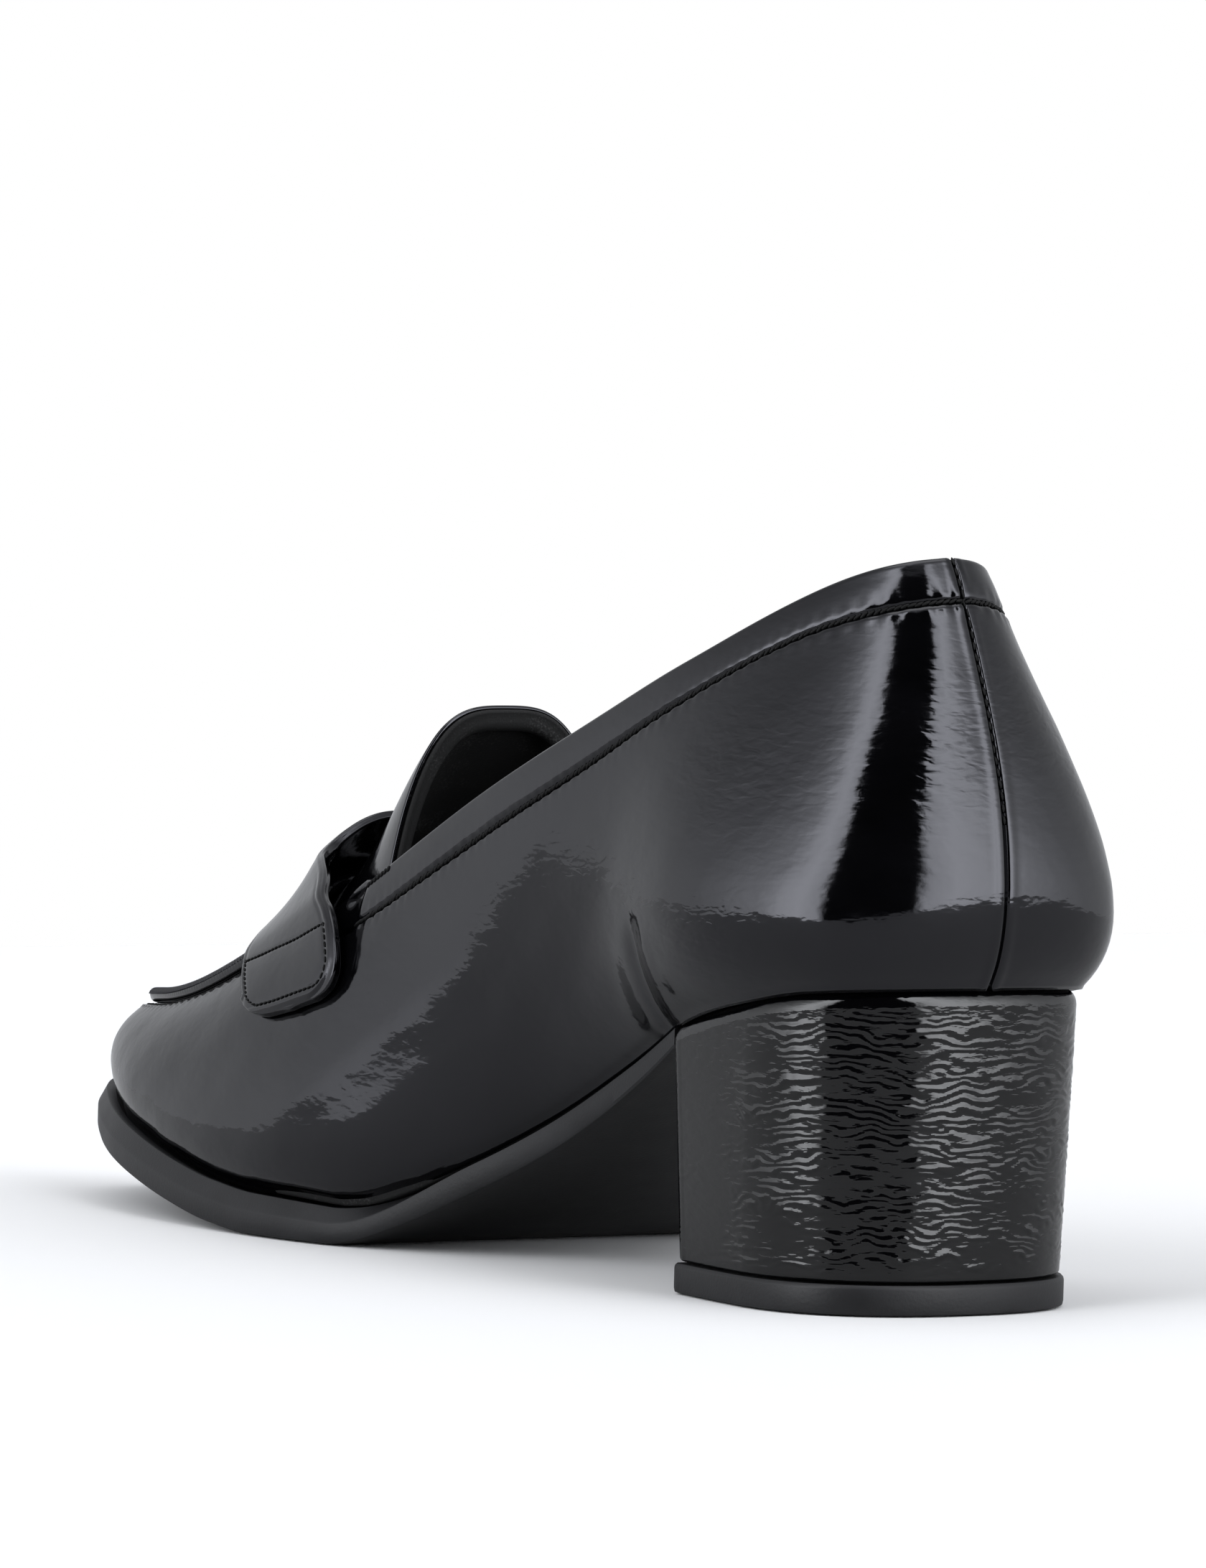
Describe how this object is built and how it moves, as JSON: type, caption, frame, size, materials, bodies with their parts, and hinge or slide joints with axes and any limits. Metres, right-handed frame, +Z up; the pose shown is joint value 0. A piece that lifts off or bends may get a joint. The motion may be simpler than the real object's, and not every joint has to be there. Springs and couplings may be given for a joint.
{
  "type": "loafer pump",
  "caption": "Women's loafer pump with a raised apron seam, a saddle strap over a standing tongue, a block heel and an open topline.",
  "frame": {"origin": "middle of the bounding box's underside, on the floor that the shoe stands on", "axes": "+Z up, the heel towards +Y and the toe towards -Y, the inner (medial) side towards +X"},
  "size_m": [0.0796, 0.25, 0.1172],
  "materials": {
    "patent_leather": "smooth black patent, mirror gloss",
    "heel_cover": "black crinkled patent, glossy",
    "lining": "matt black lining",
    "rubber": "matt dark grey"
  },
  "bodies": {
    "root": {"upper": "patent_leather", "tongue": "patent_leather", "saddle_strap": "patent_leather", "apron_seam": "patent_leather", "insole": "lining", "outsole": "rubber", "top_piece": "rubber", "heel_block": "heel_cover"}
  },
  "joints": []
}
